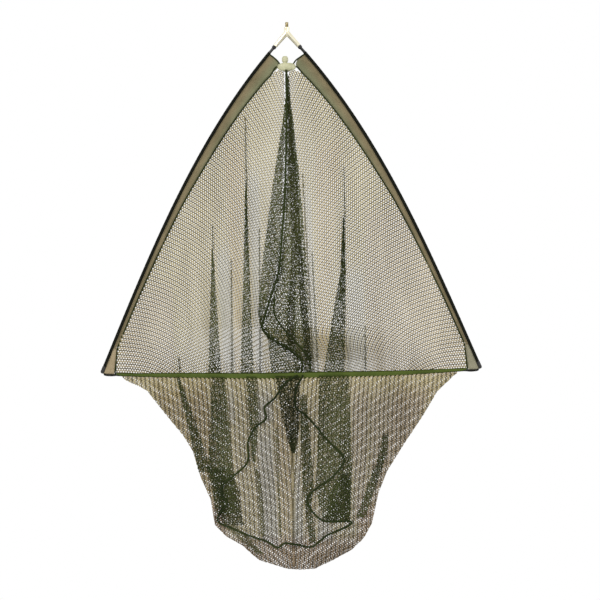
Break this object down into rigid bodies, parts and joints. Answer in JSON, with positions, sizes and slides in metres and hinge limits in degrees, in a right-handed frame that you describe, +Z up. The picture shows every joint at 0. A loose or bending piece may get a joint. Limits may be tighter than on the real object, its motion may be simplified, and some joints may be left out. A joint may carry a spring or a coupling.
{
  "type": "landing net head",
  "caption": "Landing net head: Y-shaped spreader block with a threaded stud, curved arms in fabric sleeves, a taped front cord and a deep soft mesh bag with a cord lock.",
  "frame": {"origin": "centre of the stud's flat end, where a handle holds the net", "axes": "+Z up out of the stud, +X to the right across the mouth, the mouth lies in the plane y = 0 and faces -Y, and the bag hangs behind and below it"},
  "size_m": [1.0646, 0.1788, 1.532],
  "materials": {
    "chrome": "bright nickel plating, slightly yellow",
    "brass": "machined thread",
    "gloss_black": "glossy lacquered glass fibre and moulded caps",
    "black_fabric": "tight woven tube and braided cord",
    "olive_fabric": "coated woven band",
    "tan_fabric": "reinforcing patch",
    "green_cord": "dark green piping and seam cord",
    "olive_tape": "folded woven tape",
    "netting": "soft knotless mesh",
    "cream_plastic": "moulded cord lock",
    "spring_steel": "bare wire"
  },
  "bodies": {
    "block_and_bag": {"spreader_block": "chrome", "handle_stud": "brass", "front_cord": "black_fabric", "front_hem": "olive_tape", "net_back_left": "netting", "net_back_right": "netting", "net_front": "netting", "net_base": "netting", "spine_seam_cord": "green_cord", "base_seam_left": "green_cord", "base_seam_right": "green_cord", "cord_lock_body": "cream_plastic", "cord_lock_spring": "spring_steel", "drawcord": "green_cord"},
    "left_arm": {"left_arm_rod": "gloss_black", "left_arm_collar": "gloss_black", "left_tip_cap": "gloss_black", "left_sleeve_tunnel": "black_fabric", "left_sleeve_web": "olive_fabric", "left_corner_gusset": "tan_fabric", "left_sleeve_piping": "green_cord", "left_cord_end": "black_fabric"},
    "right_arm": {"right_arm_rod": "gloss_black", "right_arm_collar": "gloss_black", "right_tip_cap": "gloss_black", "right_sleeve_tunnel": "black_fabric", "right_sleeve_web": "olive_fabric", "right_corner_gusset": "tan_fabric", "right_sleeve_piping": "green_cord", "right_cord_end": "black_fabric"},
    "lock_button": {"cord_lock_button": "cream_plastic"}
  },
  "joints": [
    {"name": "left_arm_pull", "type": "slide", "parent": "block_and_bag", "child": "left_arm", "axis": [-0.6626, 0, -0.749], "range_m": [0, 0.03]},
    {"name": "right_arm_pull", "type": "slide", "parent": "block_and_bag", "child": "right_arm", "axis": [0.6626, 0, -0.749], "range_m": [0, 0.03]},
    {"name": "button_press", "type": "slide", "parent": "block_and_bag", "child": "lock_button", "axis": [0, 0, -1], "range_m": [0, 0.003], "stiffness_N_per_m": 400, "springref_m": -0.004, "deforming": ["cord_lock_spring"]}
  ]
}
